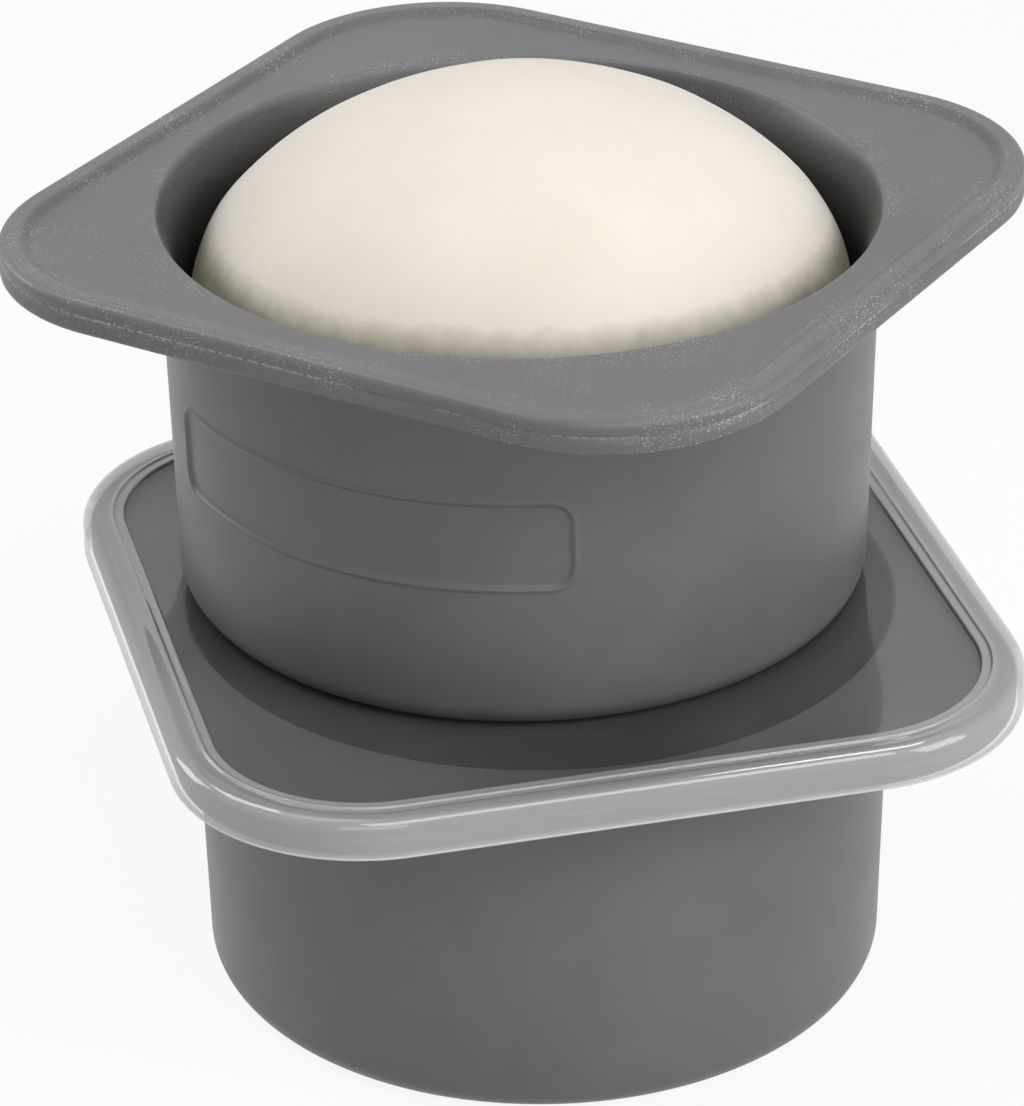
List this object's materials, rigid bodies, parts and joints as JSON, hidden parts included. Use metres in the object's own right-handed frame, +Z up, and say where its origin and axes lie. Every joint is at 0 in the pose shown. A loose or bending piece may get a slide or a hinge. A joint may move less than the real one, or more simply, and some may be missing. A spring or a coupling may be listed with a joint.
{
  "type": "dough proofing container",
  "caption": "Stack of round-bowled silicone dough proofing containers with square lipped rims, the lower closed by a translucent snap lid, the upper open over risen dough.",
  "frame": {"origin": "centre of the closed container's foot, on the surface it stands on", "axes": "+Z up through the stack, X and Y square to the sides of the closed container's rim; the picture looks along +Y turned 14 degrees"},
  "size_m": [0.1598, 0.1599, 0.1451],
  "materials": {
    "silicone": "matt mid-grey silicone, lightly dusted with flour",
    "lid_plastic": "frosted translucent polypropylene with a glossy rim",
    "dough": null
  },
  "bodies": {
    "lower_container": {"lower_container": "silicone"},
    "lid": {"lid": "lid_plastic"},
    "upper_container": {"upper_container": "silicone"},
    "dough": {"dough_ball": "dough"}
  },
  "joints": [
    {"name": "lid_lift", "type": "slide", "parent": "lower_container", "child": "lid", "axis": [0, 0, 1], "range_m": [0, 0.1]},
    {"name": "upper_lift", "type": "slide", "parent": "lid", "child": "upper_container", "axis": [0, 0, 1], "range_m": [0, 0.1]},
    {"name": "dough_lift", "type": "slide", "parent": "upper_container", "child": "dough", "axis": [0, 0, 1], "range_m": [0, 0.09]}
  ]
}
